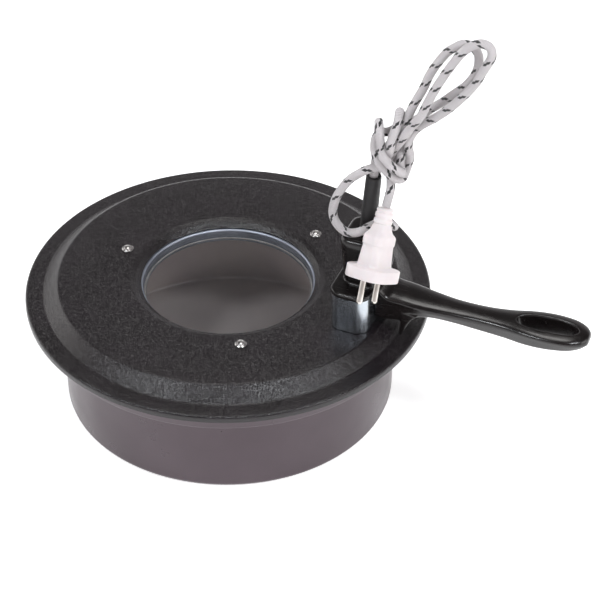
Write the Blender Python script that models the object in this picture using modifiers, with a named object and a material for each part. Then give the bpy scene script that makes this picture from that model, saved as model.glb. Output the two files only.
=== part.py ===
"""Electric lidded melting pan: a round pan, a heated lid with a glass window and a side handle.

World frame: origin at the centre of the pan's flat underside, +Z up, +X along the handle.
Scene units are metres; MM turns a length in millimetres into metres. GAP is the usual clearance
between neighbouring solids, in millimetres.
"""
import math

import bmesh
import bpy
from mathutils import Vector

MM = 0.001
GAP = 0.3
COLLECTION = "electric_melting_pan"

# Driving dimensions, in millimetres
SEGMENTS = 60
WINDOW_SEGMENTS = 48
INNER_SEGMENTS = 36

PAN_R = 132.0
PAN_SHEET = 1.2
SHOULDER_Z = 68.0
BAND_R = 149.0
BAND_Z = 74.0
PAN_RIM_R = 154.5
PAN_RIM_Z = 93.4

LID_R = 160.0
LID_TOP_Z = 105.0
LID_SHEET = 1.0
PLATEAU_R = 133.8
FLANGE_R = 146.0
FLANGE_Z = 95.0
CHAMFER_R = 76.4
WINDOW_R = 68.5
WINDOW_Z = 100.0

COLLAR_R = 68.0
COLLAR_LOW_Z = 90.0
REFLECTOR_R = 130.0
REFLECTOR_Z = 88.2
REFLECTOR_SHEET = 0.8
HEATER_RING_R = 108.0
HEATER_TUBE_R = 3.2
HEATER_Z = 95.6
INSULATION_Z = (99.6, 103.6)

SCREW_CIRCLE_R = 87.7
SCREW_ANGLES = (180.0, 60.0, -60.0)
SCREW_SHANK_R = 1.9
SCREW_HEAD_R = 4.6

SLEEVE_X = 112.5
SLEEVE_HALF = (15.2, 32.0)
SLEEVE_CORNER = 10.0
SLEEVE_SHEET = 1.2
SLEEVE_TOP_Z = 136.0
BASE_TOP_Z = 140.5
TOWER_TOP_Z = 180.0
TOWER_HALF_WIDTH = 18.5
HANDLE_END_X = 293.0
HOLE_X = (236.0, 284.0)
HOLE_HALF_WIDTH = 8.5
BOLT_X = 116.5
BOLT_Y = 14.0
BOLT_R = 2.0
BOLT_TOP_Z = 151.0
ROOT_SCREW_PLACE = (134.6, 0.0, 138.6)
ROOT_SCREW_TILT = math.radians(38.0)

RELIEF_R = 6.0
RELIEF_BORE_R = 3.9
RELIEF_LEAN = math.radians(4.2)
RELIEF_FOOT = (115.4, 0.0, 176.0)
RELIEF_TOP_Z = 231.7

CORD_R = 3.5
KNOT_CENTRE = (132.8, 0.5, 258.0)
KNOT_HALF = (15.2, 13.0, 28.5)

PLUG_TIP = (133.7, -48.1, 150.6)
PLUG_LEAN = math.radians(29.8)
PLUG_TURN = math.radians(71.6)
PIN_R = 2.35
PIN_LENGTH = 19.0
PIN_SPACING = 19.0
PLUG_LENGTH = 54.0

COLOURS = {
    "pan_enamel": ((0.055, 0.043, 0.048), 0.42, 0.35),
    "lid_enamel": ((0.012, 0.011, 0.012), 0.30, 0.0),
    "bakelite": ((0.012, 0.010, 0.010), 0.28, 0.0),
    "zinc": ((0.48, 0.53, 0.58), 0.28, 1.0),
    "steel": ((0.62, 0.61, 0.59), 0.3, 1.0),
    "aluminium": ((0.72, 0.73, 0.74), 0.32, 1.0),
    "glass": ((0.80, 0.84, 0.84), 0.05, 0.0),
    "seal": ((0.25, 0.24, 0.23), 0.8, 0.0),
    "wool": ((0.70, 0.66, 0.55), 0.95, 0.0),
    "ceramic": ((0.82, 0.80, 0.74), 0.5, 0.0),
    "heater": ((0.10, 0.09, 0.085), 0.5, 0.8),
    "rubber": ((0.018, 0.016, 0.018), 0.6, 0.0),
    "braid": ((0.78, 0.75, 0.75), 0.85, 0.0),
    "wire": ((0.55, 0.40, 0.25), 0.6, 0.0),
    "plug_plastic": ((0.85, 0.81, 0.80), 0.42, 0.0),
    "nickel": ((0.75, 0.72, 0.66), 0.2, 1.0),
}

parts = None
cutters = None


def start_collections():
    """Empty the scene and make one collection for parts and one for cutters."""
    global parts, cutters
    for old in list(bpy.data.objects):
        bpy.data.objects.remove(old, do_unlink=True)
    parts = bpy.data.collections.new(COLLECTION)
    cutters = bpy.data.collections.new("cutters")
    bpy.context.scene.collection.children.link(parts)
    bpy.context.scene.collection.children.link(cutters)


def material(key):
    """The Principled material of one finish, made once."""
    found = bpy.data.materials.get(key)
    if found:
        return found
    colour, roughness, metallic = COLOURS[key]
    made = bpy.data.materials.new(key)
    made.use_nodes = True
    shader = made.node_tree.nodes["Principled BSDF"]
    shader.inputs["Base Color"].default_value = (*colour, 1.0)
    shader.inputs["Roughness"].default_value = roughness
    shader.inputs["Metallic"].default_value = metallic
    return made


def link(obj, finish):
    """Put an object in the parts collection with its material, or among the cutters."""
    if finish is None:
        cutters.objects.link(obj)
        obj.hide_render = True
        obj.display_type = "WIRE"
    else:
        parts.objects.link(obj)
        obj.data.materials.append(material(finish))
    return obj


def from_bmesh(name, bm, finish, smooth=True):
    mesh = bpy.data.meshes.new(name)
    bmesh.ops.recalc_face_normals(bm, faces=bm.faces)
    bm.to_mesh(mesh)
    bm.free()
    if smooth:
        mesh.shade_smooth()
        mesh.set_sharp_from_angle(angle=math.radians(35))
    return link(bpy.data.objects.new(name, mesh), finish)


def turned(name, profile, finish, closed=False, segments=SEGMENTS):
    """A solid turned about Z from (radius, height) points in millimetres."""
    mesh = bpy.data.meshes.new(name)
    points = [(r * MM, 0.0, z * MM) for r, z in profile]
    edges = [(i, i + 1) for i in range(len(points) - 1)]
    if closed:
        edges.append((len(points) - 1, 0))
    mesh.from_pydata(points, edges, [])
    obj = link(bpy.data.objects.new(name, mesh), finish)
    screw = obj.modifiers.new("turn", "SCREW")
    screw.axis = "Z"
    screw.steps = segments
    screw.render_steps = segments
    screw.use_merge_vertices = True
    screw.merge_threshold = 0.00001
    screw.use_smooth_shade = True
    return obj


def cylinder(name, radius, low, high, finish, place=(0.0, 0.0), segments=24):
    """An upright cylinder between two heights, in millimetres."""
    bm = bmesh.new()
    bmesh.ops.create_cone(bm, cap_ends=True, segments=segments, radius1=radius * MM,
                          radius2=radius * MM, depth=(high - low) * MM)
    obj = from_bmesh(name, bm, finish)
    obj.location = (place[0] * MM, place[1] * MM, (low + high) / 2 * MM)
    return obj


def block(name, low, high, finish, bevel=0.0):
    """A box between two corners, in millimetres, with optional rounded edges."""
    bm = bmesh.new()
    bmesh.ops.create_cube(bm, size=1.0)
    size = Vector(high) - Vector(low)
    bmesh.ops.scale(bm, vec=size * MM, verts=bm.verts)
    obj = from_bmesh(name, bm, finish, smooth=False)
    obj.location = (Vector(low) + Vector(high)) / 2 * MM
    if bevel:
        edge = obj.modifiers.new("edges", "BEVEL")
        edge.width = bevel * MM
        edge.segments = 2
    return obj


def rounded_rectangle(centre, half, corner, steps=5):
    """Points of a rounded rectangle, counter-clockwise from +X."""
    points = []
    for index, (sx, sy) in enumerate(((1, 1), (-1, 1), (-1, -1), (1, -1))):
        cx = centre[0] + sx * (half[0] - corner)
        cy = centre[1] + sy * (half[1] - corner)
        for step in range(steps + 1):
            angle = math.radians(90 * index + 90 * step / steps)
            points.append((cx + corner * math.cos(angle), cy + corner * math.sin(angle)))
    return points


def loft(name, rings, finish):
    """A closed solid through rings of equally many points, in millimetres."""
    bm = bmesh.new()
    rows = [[bm.verts.new(Vector(p) * MM) for p in ring] for ring in rings]
    count = len(rows[0])
    for near, far in zip(rows, rows[1:]):
        for i in range(count):
            j = (i + 1) % count
            bm.faces.new((near[i], near[j], far[j], far[i]))
    bm.faces.new(rows[0])
    bm.faces.new(rows[-1])
    return from_bmesh(name, bm, finish)


def prism(name, outline, low, high, finish):
    """An upright prism with one flat outline, from a filled 2D curve."""
    curve = bpy.data.curves.new(name, "CURVE")
    curve.dimensions = "2D"
    curve.fill_mode = "BOTH"
    curve.extrude = (high - low) / 2 * MM
    spline = curve.splines.new("POLY")
    spline.points.add(len(outline) - 1)
    for point, (x, y) in zip(spline.points, outline):
        point.co = (x * MM, y * MM, 0.0, 1.0)
    spline.use_cyclic_u = True
    holder = bpy.data.objects.new(name, curve)
    holder.location = (0.0, 0.0, (low + high) / 2 * MM)
    return to_mesh(holder, finish)


def to_mesh(curve_object, finish):
    """Turn a curve object into a closed mesh object that can be cut."""
    bpy.context.scene.collection.objects.link(curve_object)
    bpy.context.view_layer.update()
    graph = bpy.context.evaluated_depsgraph_get()
    mesh = bpy.data.meshes.new_from_object(curve_object.evaluated_get(graph))
    name = curve_object.name
    matrix = curve_object.matrix_world.copy()
    bpy.data.objects.remove(curve_object, do_unlink=True)
    bm = bmesh.new()
    bm.from_mesh(mesh)
    bpy.data.meshes.remove(mesh)
    bmesh.ops.remove_doubles(bm, verts=bm.verts, dist=0.00001)
    obj = from_bmesh(name, bm, finish)
    obj.matrix_world = matrix
    return obj


def smooth_route(points, spacing):
    """Even points along a Catmull-Rom curve through hand-placed points."""
    knots = [Vector(p) for p in points]
    knots = [2 * knots[0] - knots[1]] + knots + [2 * knots[-1] - knots[-2]]
    dense = []
    for a, b, c, d in zip(knots, knots[1:], knots[2:], knots[3:]):
        for step in range(24):
            t = step / 24
            dense.append(0.5 * (2 * b + (c - a) * t + (2 * a - 5 * b + 4 * c - d) * t ** 2
                                + (3 * b - a - 3 * c + d) * t ** 3))
    dense.append(knots[-2])
    length = sum((q - p).length for p, q in zip(dense, dense[1:]))
    count = max(2, round(length / spacing))
    result = [dense[0]]
    walked = 0.0
    target = length / count
    for p, q in zip(dense, dense[1:]):
        step = (q - p).length
        while walked + step >= target * len(result) and len(result) < count:
            result.append(p.lerp(q, (target * len(result) - walked) / step))
        walked += step
    result.append(dense[-1])
    return result


def tube(name, points, radius, finish, spacing=None, resolution=2, cyclic=False):
    """A round tube along points, in millimetres, as a closed mesh."""
    route = smooth_route(points, spacing) if spacing else [Vector(p) for p in points]
    curve = bpy.data.curves.new(name, "CURVE")
    curve.dimensions = "3D"
    curve.bevel_depth = radius * MM
    curve.bevel_resolution = resolution
    curve.use_fill_caps = not cyclic
    spline = curve.splines.new("POLY")
    spline.points.add(len(route) - 1)
    for point, place in zip(spline.points, route):
        point.co = (*(place * MM), 1.0)
    spline.use_cyclic_u = cyclic
    return to_mesh(bpy.data.objects.new(name, curve), finish)


def combine(target, other, operation, solver="EXACT"):
    """Join or cut a part with another mesh through a Boolean modifier."""
    modifier = target.modifiers.new(operation.lower(), "BOOLEAN")
    modifier.operation = operation
    modifier.solver = solver
    modifier.object = other
    return target


def cut(target, *others):
    for other in others:
        combine(target, other, "DIFFERENCE")
    return target


def on_circle(radius, degrees):
    angle = math.radians(degrees)
    return (radius * math.cos(angle), radius * math.sin(angle))


# Pan -----------------------------------------------------------------------------------------

def make_pan():
    """Pressed pan: near-vertical wall, a stepped shoulder, a wide band and a turned-out rim."""
    t = PAN_SHEET
    inside = [(0.0, t), (PAN_R - 4.5, t), (PAN_R - t, t + 4.5), (PAN_R - t + 0.6, SHOULDER_Z + 0.6),
              (BAND_R - 5.0, BAND_Z + 0.6), (BAND_R - t + 0.2, BAND_Z + 3.4),
              (BAND_R + 0.6, PAN_RIM_Z - 2.0), (BAND_R + 2.6, PAN_RIM_Z)]
    outside = [(PAN_RIM_R, PAN_RIM_Z), (PAN_RIM_R, PAN_RIM_Z - t), (BAND_R + 2.0, PAN_RIM_Z - 2.6),
               (BAND_R + 1.0, BAND_Z + 3.2), (BAND_R, BAND_Z), (BAND_R - 3.0, BAND_Z - 0.8),
               (PAN_R + 0.6, SHOULDER_Z), (PAN_R, 3.0), (PAN_R - 2.5, 0.0), (0.0, 0.0)]
    turned("pan", inside + outside, "pan_enamel")


# Lid -----------------------------------------------------------------------------------------

def make_lid_cover():
    """Pressed lid: sunk window edge, flat plateau, sloping shoulder, flat flange, turned-down hem."""
    t = LID_SHEET
    top = [(WINDOW_R, WINDOW_Z), (CHAMFER_R - 1.4, LID_TOP_Z - 0.4), (CHAMFER_R, LID_TOP_Z),
           (PLATEAU_R - 1.2, LID_TOP_Z), (PLATEAU_R + 0.9, LID_TOP_Z - 0.8),
           (FLANGE_R - 2.2, FLANGE_Z + 1.0), (FLANGE_R, FLANGE_Z), (LID_R - 4.0, FLANGE_Z),
           (LID_R - 1.4, FLANGE_Z - 1.0), (LID_R, FLANGE_Z - 3.4), (LID_R, FLANGE_Z - 5.2)]
    under = [(LID_R - t, FLANGE_Z - 5.2), (LID_R - t, FLANGE_Z - 3.0), (LID_R - 4.2, FLANGE_Z - t),
             (FLANGE_R - 0.3, FLANGE_Z - t), (PLATEAU_R - 0.4, LID_TOP_Z - t),
             (CHAMFER_R - 0.4, LID_TOP_Z - t), (WINDOW_R, WINDOW_Z - t)]
    cover = turned("lid_cover", top + under, "lid_enamel", closed=True)
    holes = [cylinder(f"lid_screw_hole_{i}", SCREW_SHANK_R + GAP, 98, 110, None,
                      on_circle(SCREW_CIRCLE_R, angle), 12)
             for i, angle in enumerate(SCREW_ANGLES)]
    holes += [cylinder(f"lid_bolt_hole_{i}", BOLT_R + GAP, 98, 110, None, (BOLT_X, side * BOLT_Y), 12)
              for i, side in enumerate((-1, 1))]
    holes += [cylinder(f"lid_lead_hole_{i}", 3.0, 98, 110, None, (HEATER_RING_R, side * 8.0), 12)
              for i, side in enumerate((-1, 1))]
    cut(cover, *holes)


def make_window():
    """Glass pane standing in a flanged metal collar on a soft seal."""
    r = COLLAR_R
    turned("window_collar",
           [(r - 2.8, COLLAR_LOW_Z), (r - 2.8, COLLAR_LOW_Z + 1.0), (r - 1.0, COLLAR_LOW_Z + 1.0),
            (r - 1.0, WINDOW_Z - 1.4), (r + 9.5, WINDOW_Z - 1.4), (r + 9.5, WINDOW_Z - 2.2),
            (r, WINDOW_Z - 2.2), (r, COLLAR_LOW_Z)], "zinc", closed=True, segments=WINDOW_SEGMENTS)
    seal_low = COLLAR_LOW_Z + 1.0 + GAP
    turned("window_seal",
           [(r - 4.6, seal_low), (r - 4.6, seal_low + 0.8), (r - 1.3, seal_low + 0.8),
            (r - 1.3, seal_low)], "seal", closed=True, segments=INNER_SEGMENTS)
    glass_low = seal_low + 1.1
    turned("window_glass", [(0.0, glass_low + 3.0), (r - 1.4, glass_low + 3.0), (r - 1.4, glass_low),
                            (0.0, glass_low)], "glass", segments=WINDOW_SEGMENTS)


def make_heating():
    """Ring heater under the lid, on ceramic supports in a bright dish, below an insulating ring."""
    t = REFLECTOR_SHEET
    low = REFLECTOR_Z
    flange = WINDOW_Z - 3.3
    profile = [(COLLAR_R + 1.2, flange), (COLLAR_R + 1.2, flange + t), (COLLAR_R + 9.8, flange + t),
               (COLLAR_R + 12.6, low + t), (REFLECTOR_R - 4.0, low + t), (REFLECTOR_R - t, low + 5.0),
               (REFLECTOR_R - t, LID_TOP_Z - LID_SHEET - 1.6), (REFLECTOR_R, LID_TOP_Z - LID_SHEET - 1.6),
               (REFLECTOR_R, low + 4.6), (REFLECTOR_R - 3.5, low), (COLLAR_R + 12.0, low),
               (COLLAR_R + 9.2, flange)]
    reflector = turned("reflector", profile, "aluminium", closed=True, segments=INNER_SEGMENTS)
    wool = turned("insulation_ring",
                  [(80.5, INSULATION_Z[0]), (80.5, INSULATION_Z[1]), (128.0, INSULATION_Z[1]),
                   (128.0, INSULATION_Z[0])], "wool", closed=True, segments=INNER_SEGMENTS)
    holes = [cylinder(f"reflector_hole_{i}", SCREW_SHANK_R + GAP, 80, 110, None,
                      on_circle(SCREW_CIRCLE_R, angle), 12)
             for i, angle in enumerate(SCREW_ANGLES)]
    cut(reflector, *holes)
    leads = [cylinder(f"wool_lead_hole_{i}", 3.0, 98, 110, None, (HEATER_RING_R, side * 8.0), 12)
             for i, side in enumerate((-1, 1))]
    bolts = [cylinder(f"wool_bolt_hole_{i}", 5.0, 98, 110, None, (BOLT_X, side * BOLT_Y), 12)
             for i, side in enumerate((-1, 1))]
    cut(wool, *holes, *leads, *bolts)
    span = 352.0
    steps = 36
    arc = [(*on_circle(HEATER_RING_R, 4.0 + 5.0 + (span - 10.0) * i / steps), HEATER_Z)
           for i in range(steps + 1)]
    tube("heating_element", arc, HEATER_TUBE_R, "heater")
    for number, angle in enumerate((30, 150, 270), start=1):
        base = low + t + GAP
        support = block(f"element_support_{number}", (-5.0, -6.0, base),
                        (5.0, 6.0, HEATER_Z - HEATER_TUBE_R - GAP), "ceramic")
        x, y = on_circle(HEATER_RING_R, angle)
        support.location.x = x * MM
        support.location.y = y * MM
        support.rotation_euler.z = math.radians(angle)


def make_lid_screws():
    """Three domed screws through the plateau, with spacer tubes and nuts inside."""
    head_low = LID_TOP_Z + GAP
    r = SCREW_HEAD_R
    head = [(0.0, head_low + 2.6), (r * 0.45, head_low + 2.4), (r * 0.8, head_low + 1.6),
            (r, head_low + 0.5), (r, head_low), (SCREW_SHANK_R, head_low),
            (SCREW_SHANK_R, REFLECTOR_Z - 4.2), (0.0, REFLECTOR_Z - 4.2)]
    for number, angle in enumerate(SCREW_ANGLES, start=1):
        x, y = on_circle(SCREW_CIRCLE_R, angle)
        screw = turned(f"lid_screw_{number}", head, "steel", segments=16)
        screw.location = (x * MM, y * MM, 0.0)
        slot = block(f"lid_screw_slot_{number}", (-0.6, -6.0, head_low + 1.5),
                     (0.6, 6.0, head_low + 4.0), None)
        slot.location.x = x * MM
        slot.location.y = y * MM
        slot.rotation_euler.z = math.radians(angle * 2 + 25)
        cut(screw, slot)
        nut = turned(f"lid_nut_{number}",
                     [(SCREW_SHANK_R + GAP, REFLECTOR_Z - 3.3), (SCREW_SHANK_R + GAP, REFLECTOR_Z - GAP),
                      (4.0, REFLECTOR_Z - GAP), (4.0, REFLECTOR_Z - 3.3)],
                     "steel", closed=True, segments=6)
        nut.location = (x * MM, y * MM, 0.0)
        spacer = turned(f"lid_spacer_{number}",
                        [(SCREW_SHANK_R + GAP, REFLECTOR_Z + 1.1),
                         (SCREW_SHANK_R + GAP, INSULATION_Z[0] - GAP),
                         (3.4, INSULATION_Z[0] - GAP), (3.4, REFLECTOR_Z + 1.1)],
                        "steel", closed=True, segments=16)
        spacer.location = (x * MM, y * MM, 0.0)


# Handle --------------------------------------------------------------------------------------

def make_heat_sleeve():
    """Zinc-plated oblong sleeve that holds the handle clear of the hot lid."""
    low = LID_TOP_Z + GAP
    outer = rounded_rectangle((SLEEVE_X, 0.0), SLEEVE_HALF, SLEEVE_CORNER)
    inner_half = (SLEEVE_HALF[0] - SLEEVE_SHEET, SLEEVE_HALF[1] - SLEEVE_SHEET)
    inner = rounded_rectangle((SLEEVE_X, 0.0), inner_half, SLEEVE_CORNER - SLEEVE_SHEET)
    sleeve = prism("heat_sleeve", outer, low, SLEEVE_TOP_Z - GAP, "zinc")
    cut(sleeve, prism("sleeve_bore", inner, low - 5, SLEEVE_TOP_Z + 5, None))


def tower_ring(z, inner_x, outer_x, half_width, corner):
    centre = ((inner_x + outer_x) / 2, 0.0)
    half = ((outer_x - inner_x) / 2, half_width)
    return [(x, y, z) for x, y in rounded_rectangle(centre, half, corner)]


def grip_ring(x, top, ridge_half, low, low_half):
    """One section of the grip: crowned top, ridge at the widest place, sides drawn in below."""
    ridge = top - 3.6
    right = [(0.55 * ridge_half, top - 0.7), (0.9 * ridge_half, top - 2.0), (ridge_half, ridge),
             (0.95 * ridge_half, ridge - 2.2), (low_half, low + 1.6), (low_half - 2.0, low)]
    left = [(-y, z) for y, z in reversed(right)]
    return [(x, y, z) for y, z in [(0.0, top)] + right + left]


GRIP_STATIONS = (
    (125.4, 144.0, 15.2, 110.0, 13.4),
    (131.0, 140.2, 15.2, 110.0, 13.2),
    (138.0, 134.6, 15.0, 110.0, 13.0),
    (150.0, 133.5, 14.6, 112.5, 12.5),
    (160.0, 132.4, 14.0, 116.5, 11.0),
    (172.0, 131.5, 12.6, 118.5, 9.0),
    (190.0, 131.0, 10.7, 117.5, 7.2),
    (212.0, 131.6, 10.5, 116.5, 7.2),
    (230.0, 132.8, 12.4, 116.8, 8.8),
    (246.0, 134.2, 15.8, 118.0, 12.2),
    (262.0, 135.0, 17.5, 120.0, 14.0),
    (278.0, 135.2, 16.2, 122.0, 12.8),
    (287.0, 134.8, 12.4, 123.8, 9.4),
    (291.5, 134.0, 7.8, 125.6, 5.6),
    (HANDLE_END_X, 132.6, 4.4, 127.4, 2.8),
)


def make_handle():
    """One moulding: base flange on the sleeve, hollow tower, root with a guard fin, and grip."""
    base_half = (SLEEVE_HALF[0] + 1.2, SLEEVE_HALF[1] + 1.2)
    base = rounded_rectangle((SLEEVE_X, 0.0), base_half, SLEEVE_CORNER + 1.2)
    handle = prism("handle", base, SLEEVE_TOP_Z, BASE_TOP_Z, "bakelite")
    w = TOWER_HALF_WIDTH
    tower = loft("tower_block",
                 [tower_ring(SLEEVE_TOP_Z + 1, 102.5, 133.0, w - 1.0, 8.0),
                  tower_ring(160.0, 100.2, 130.0, w - 0.4, 8.0),
                  tower_ring(TOWER_TOP_Z - 4.0, 98.6, 126.0, w, 8.0),
                  tower_ring(TOWER_TOP_Z - 1.0, 99.6, 124.6, w - 1.2, 7.4),
                  tower_ring(TOWER_TOP_Z, 102.0, 122.0, w - 4.0, 6.0)], None)
    grip = loft("grip_block", [grip_ring(*station) for station in GRIP_STATIONS], None)
    combine(handle, tower, "UNION")
    combine(handle, grip, "UNION")
    fin_outline = [(163.0, 121.0), (158.0, 116.5), (154.6, 111.0), (152.2, 104.5), (150.6, 100.0),
                   (147.8, 100.0), (148.2, 104.5), (148.8, 112.0), (149.0, 121.0)]
    fin = loft("guard_fin", [[(x, y, z) for x, z in fin_outline] for y in (-13.5, 13.5)], None)
    combine(handle, fin, "UNION")
    cavity = loft("tower_cavity",
                  [tower_ring(z, 105.5, 123.0, 9.5, 4.0) for z in (SLEEVE_TOP_Z - 30, 166.0)], None)
    root_hollow = block("root_hollow", (131.5, -11.0, 90.0), (146.5, 11.0, 126.0), None)
    sleeve_room = prism("sleeve_room",
                        rounded_rectangle((SLEEVE_X, 0.0),
                                          (SLEEVE_HALF[0] + 0.4, SLEEVE_HALF[1] + 0.4),
                                          SLEEVE_CORNER + 0.4), 90.0, SLEEVE_TOP_Z, None)
    hole = prism("hanging_hole",
                 rounded_rectangle((sum(HOLE_X) / 2, 0.0),
                                   ((HOLE_X[1] - HOLE_X[0]) / 2, HOLE_HALF_WIDTH),
                                   HOLE_HALF_WIDTH - 0.1, 6), 105.0, 145.0, None)
    bore = cylinder("relief_bore", RELIEF_R + GAP, -30.0, 30.0, None, segments=20)
    bore.location = Vector(RELIEF_FOOT) * MM
    bore.rotation_euler.y = RELIEF_LEAN
    bolt_holes = [cylinder(f"handle_bolt_hole_{i}", BOLT_R + GAP, 120, BOLT_TOP_Z + 0.5, None,
                           (BOLT_X, side * BOLT_Y), 12) for i, side in enumerate((-1, 1))]
    screw_room = turned("root_screw_room", [(0.0, 6.0), (3.5, 6.0), (3.5, 0.0), (1.8, 0.0),
                                            (1.8, -8.6), (0.0, -8.6)], None, segments=16)
    screw_room.location = Vector(ROOT_SCREW_PLACE) * MM
    screw_room.rotation_euler.y = ROOT_SCREW_TILT
    cut(handle, cavity, root_hollow, sleeve_room, hole, bore, screw_room, *bolt_holes)


def make_handle_screws():
    """Two bolts from under the lid up through the sleeve into the tower, and a screw in the root."""
    head_top = LID_TOP_Z - LID_SHEET - GAP
    for number, side in enumerate((-1, 1), start=1):
        bolt = turned(f"handle_bolt_{number}",
                      [(0.0, BOLT_TOP_Z), (BOLT_R, BOLT_TOP_Z), (BOLT_R, head_top), (3.8, head_top),
                       (3.8, head_top - 1.6), (2.6, head_top - 2.6), (0.0, head_top - 2.8)],
                      "steel", segments=16)
        bolt.location = (BOLT_X * MM, side * BOLT_Y * MM, 0.0)
    screw = turned("root_screw",
                   [(0.0, 2.4), (1.6, 2.2), (2.6, 1.5), (3.1, 0.7), (3.1, 0.3), (1.5, 0.3),
                    (1.5, -8.0), (0.0, -8.0)], "nickel", segments=16)
    screw.location = Vector(ROOT_SCREW_PLACE) * MM
    screw.rotation_euler.y = ROOT_SCREW_TILT


def make_terminals():
    """Ceramic terminal block in the tower, its screws, the inner leads and the cord clamp."""
    body = block("terminal_block", (106.5, -8.5, 142.0), (122.0, 8.5, 154.0), "ceramic", bevel=0.8)
    for number, side in enumerate((-1, 1), start=1):
        x = 110.0
        y = side * 4.4
        hole = cylinder(f"terminal_hole_{number}", 2.4, 148.0, 160.0, None, (x, y), 12)
        cut(body, hole)
        cylinder(f"terminal_screw_{number}", 2.1, 148.3, 155.2, "nickel", (x, y), 12)
        tube(f"mains_lead_{number}", [(118.5, y, 154.3), (118.3, side * 4.0, 156.5),
                                      (116.6, side * 2.6, 159.0), (115.2, side * 1.5, 161.4)],
             1.1, "wire", spacing=2.4, resolution=1)
        tube(f"heater_lead_{number}",
             [(HEATER_RING_R + 3.0, y, 141.7), (HEATER_RING_R + 1.5, side * 6.5, 130.0),
              (HEATER_RING_R + 0.2, side * 8.0, 118.0), (HEATER_RING_R, side * 8.0, 104.0),
              (HEATER_RING_R, side * 8.0, HEATER_Z + 0.4), (HEATER_RING_R - 0.4, side * 12.0, HEATER_Z)],
             1.5, "wire", spacing=5.0, resolution=1)


def relief_axis(height):
    """A point on the leaning axis of the strain relief at one height."""
    foot = Vector(RELIEF_FOOT)
    rise = height - foot.z
    return Vector((foot.x + rise * math.tan(RELIEF_LEAN), foot.y, height))


def make_strain_relief():
    """Rubber sleeve with a foot inside the tower, standing up around the cord."""
    foot = 162.0 - RELIEF_FOOT[2]
    top = (RELIEF_TOP_Z - RELIEF_FOOT[2]) / math.cos(RELIEF_LEAN)
    step = 165.0 - RELIEF_FOOT[2]
    profile = [(RELIEF_BORE_R, foot), (RELIEF_BORE_R, top), (RELIEF_R - 0.6, top),
               (RELIEF_R, top - 0.6), (RELIEF_R, step), (RELIEF_R + 1.6, step), (RELIEF_R + 1.6, foot)]
    relief = turned("strain_relief", profile, "rubber", closed=True, segments=20)
    relief.location = Vector(RELIEF_FOOT) * MM
    relief.rotation_euler.y = RELIEF_LEAN


# Cord and plug -------------------------------------------------------------------------------

# Centre lines of the cord's free stretches; each one starts and ends inside the knot
OUTER_LOOP = (
    (139.5, -5, 266), (146, -6, 276), (151.5, -6.5, 286), (156, -5.5, 297), (159.5, -4.5, 307),
    (166.5, -4, 323.5), (175, -3.5, 340.5), (184, -3, 355), (194.5, -3, 363), (202, -3, 362),
    (204, -3, 356), (202, -3, 349.5), (198, -3, 341), (193.5, -2.5, 330.5), (185, -2, 317.5),
    (175.5, -1, 305), (164.5, 0.5, 293), (155.5, 2, 285), (149.5, 3, 279), (142, 3, 271),
)
INNER_LOOP = (
    (136, -4, 268), (141.5, -1.5, 280), (145.5, 1.5, 293.5), (149, 3, 303), (153, 4, 312),
    (158.5, 4.5, 327.5), (167.5, 5, 343.5), (173.5, 5, 350), (180.5, 5, 355), (186.5, 5, 355),
    (191, 5, 351), (192.5, 5, 346), (192, 5, 338), (189, 5, 329.5), (183.5, 5, 321),
    (177, 5.5, 314), (167, 7, 303), (157.5, 8.5, 293.5), (150.5, 9.5, 285), (145, 10, 279),
    (137, 10, 270),
)
LOWER_LOOP = (
    (125, -7, 250), (116, -8, 241), (110.5, -9, 236.5), (104, -10, 230), (98, -12, 220),
    (94, -13, 210), (93, -14, 199), (97, -15, 191), (105, -16, 186.5), (113.8, -15.5, 188.5),
    (119, -12.5, 191.5), (123.8, -9, 194), (128.5, -5, 195.5), (133, -1, 192), (135.5, 3.5, 187),
    (132.5, 8, 184.8), (126.5, 11.5, 185.6), (119.5, 12.8, 188.5), (114.5, 12.6, 195),
    (113, 12.5, 204), (114.2, 12.2, 214.2), (116.5, 11.8, 223.7), (119.3, 11.4, 233), (126, 8.5, 244),
)
PLUG_LEAD = ((133.7, -11.4, 214.6), (134.2, -8.4, 220), (134.8, -5.6, 227), (135, -3.5, 238))


def knot(name, growth, finish):
    """The outer shape of the knot: an upright egg, grown by a margin in millimetres."""
    bm = bmesh.new()
    bmesh.ops.create_uvsphere(bm, u_segments=20, v_segments=12, radius=1.0)
    half = [(size + growth) * MM for size in KNOT_HALF]
    bmesh.ops.scale(bm, vec=half, verts=bm.verts)
    obj = from_bmesh(name, bm, finish)
    obj.location = Vector(KNOT_CENTRE) * MM
    return obj


def make_cord():
    """Braided cord: up the strain relief, a knot, two raised loops, a low loop and the plug lead."""
    knot("cord_knot", 0.0, "braid")
    room = knot("knot_room", 0.35, None)
    root_points = [relief_axis(z) for z in (163.0, 185.0, 207.0, 229.0, 247.0)]
    cord_root = tube("cord_root", root_points, CORD_R, "braid")
    outer = tube("cord_loop_outer", OUTER_LOOP, CORD_R, "braid", spacing=10.0)
    inner = tube("cord_loop_inner", INNER_LOOP, CORD_R, "braid", spacing=10.0)
    lower = tube("cord_loop_lower", LOWER_LOOP, CORD_R, "braid", spacing=8.0)
    lead = tube("cord_plug_lead", PLUG_LEAD, CORD_R, "braid", spacing=7.0)
    for piece in (cord_root, outer, inner, lower, lead):
        combine(piece, room, "DIFFERENCE", "MANIFOLD")


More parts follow.
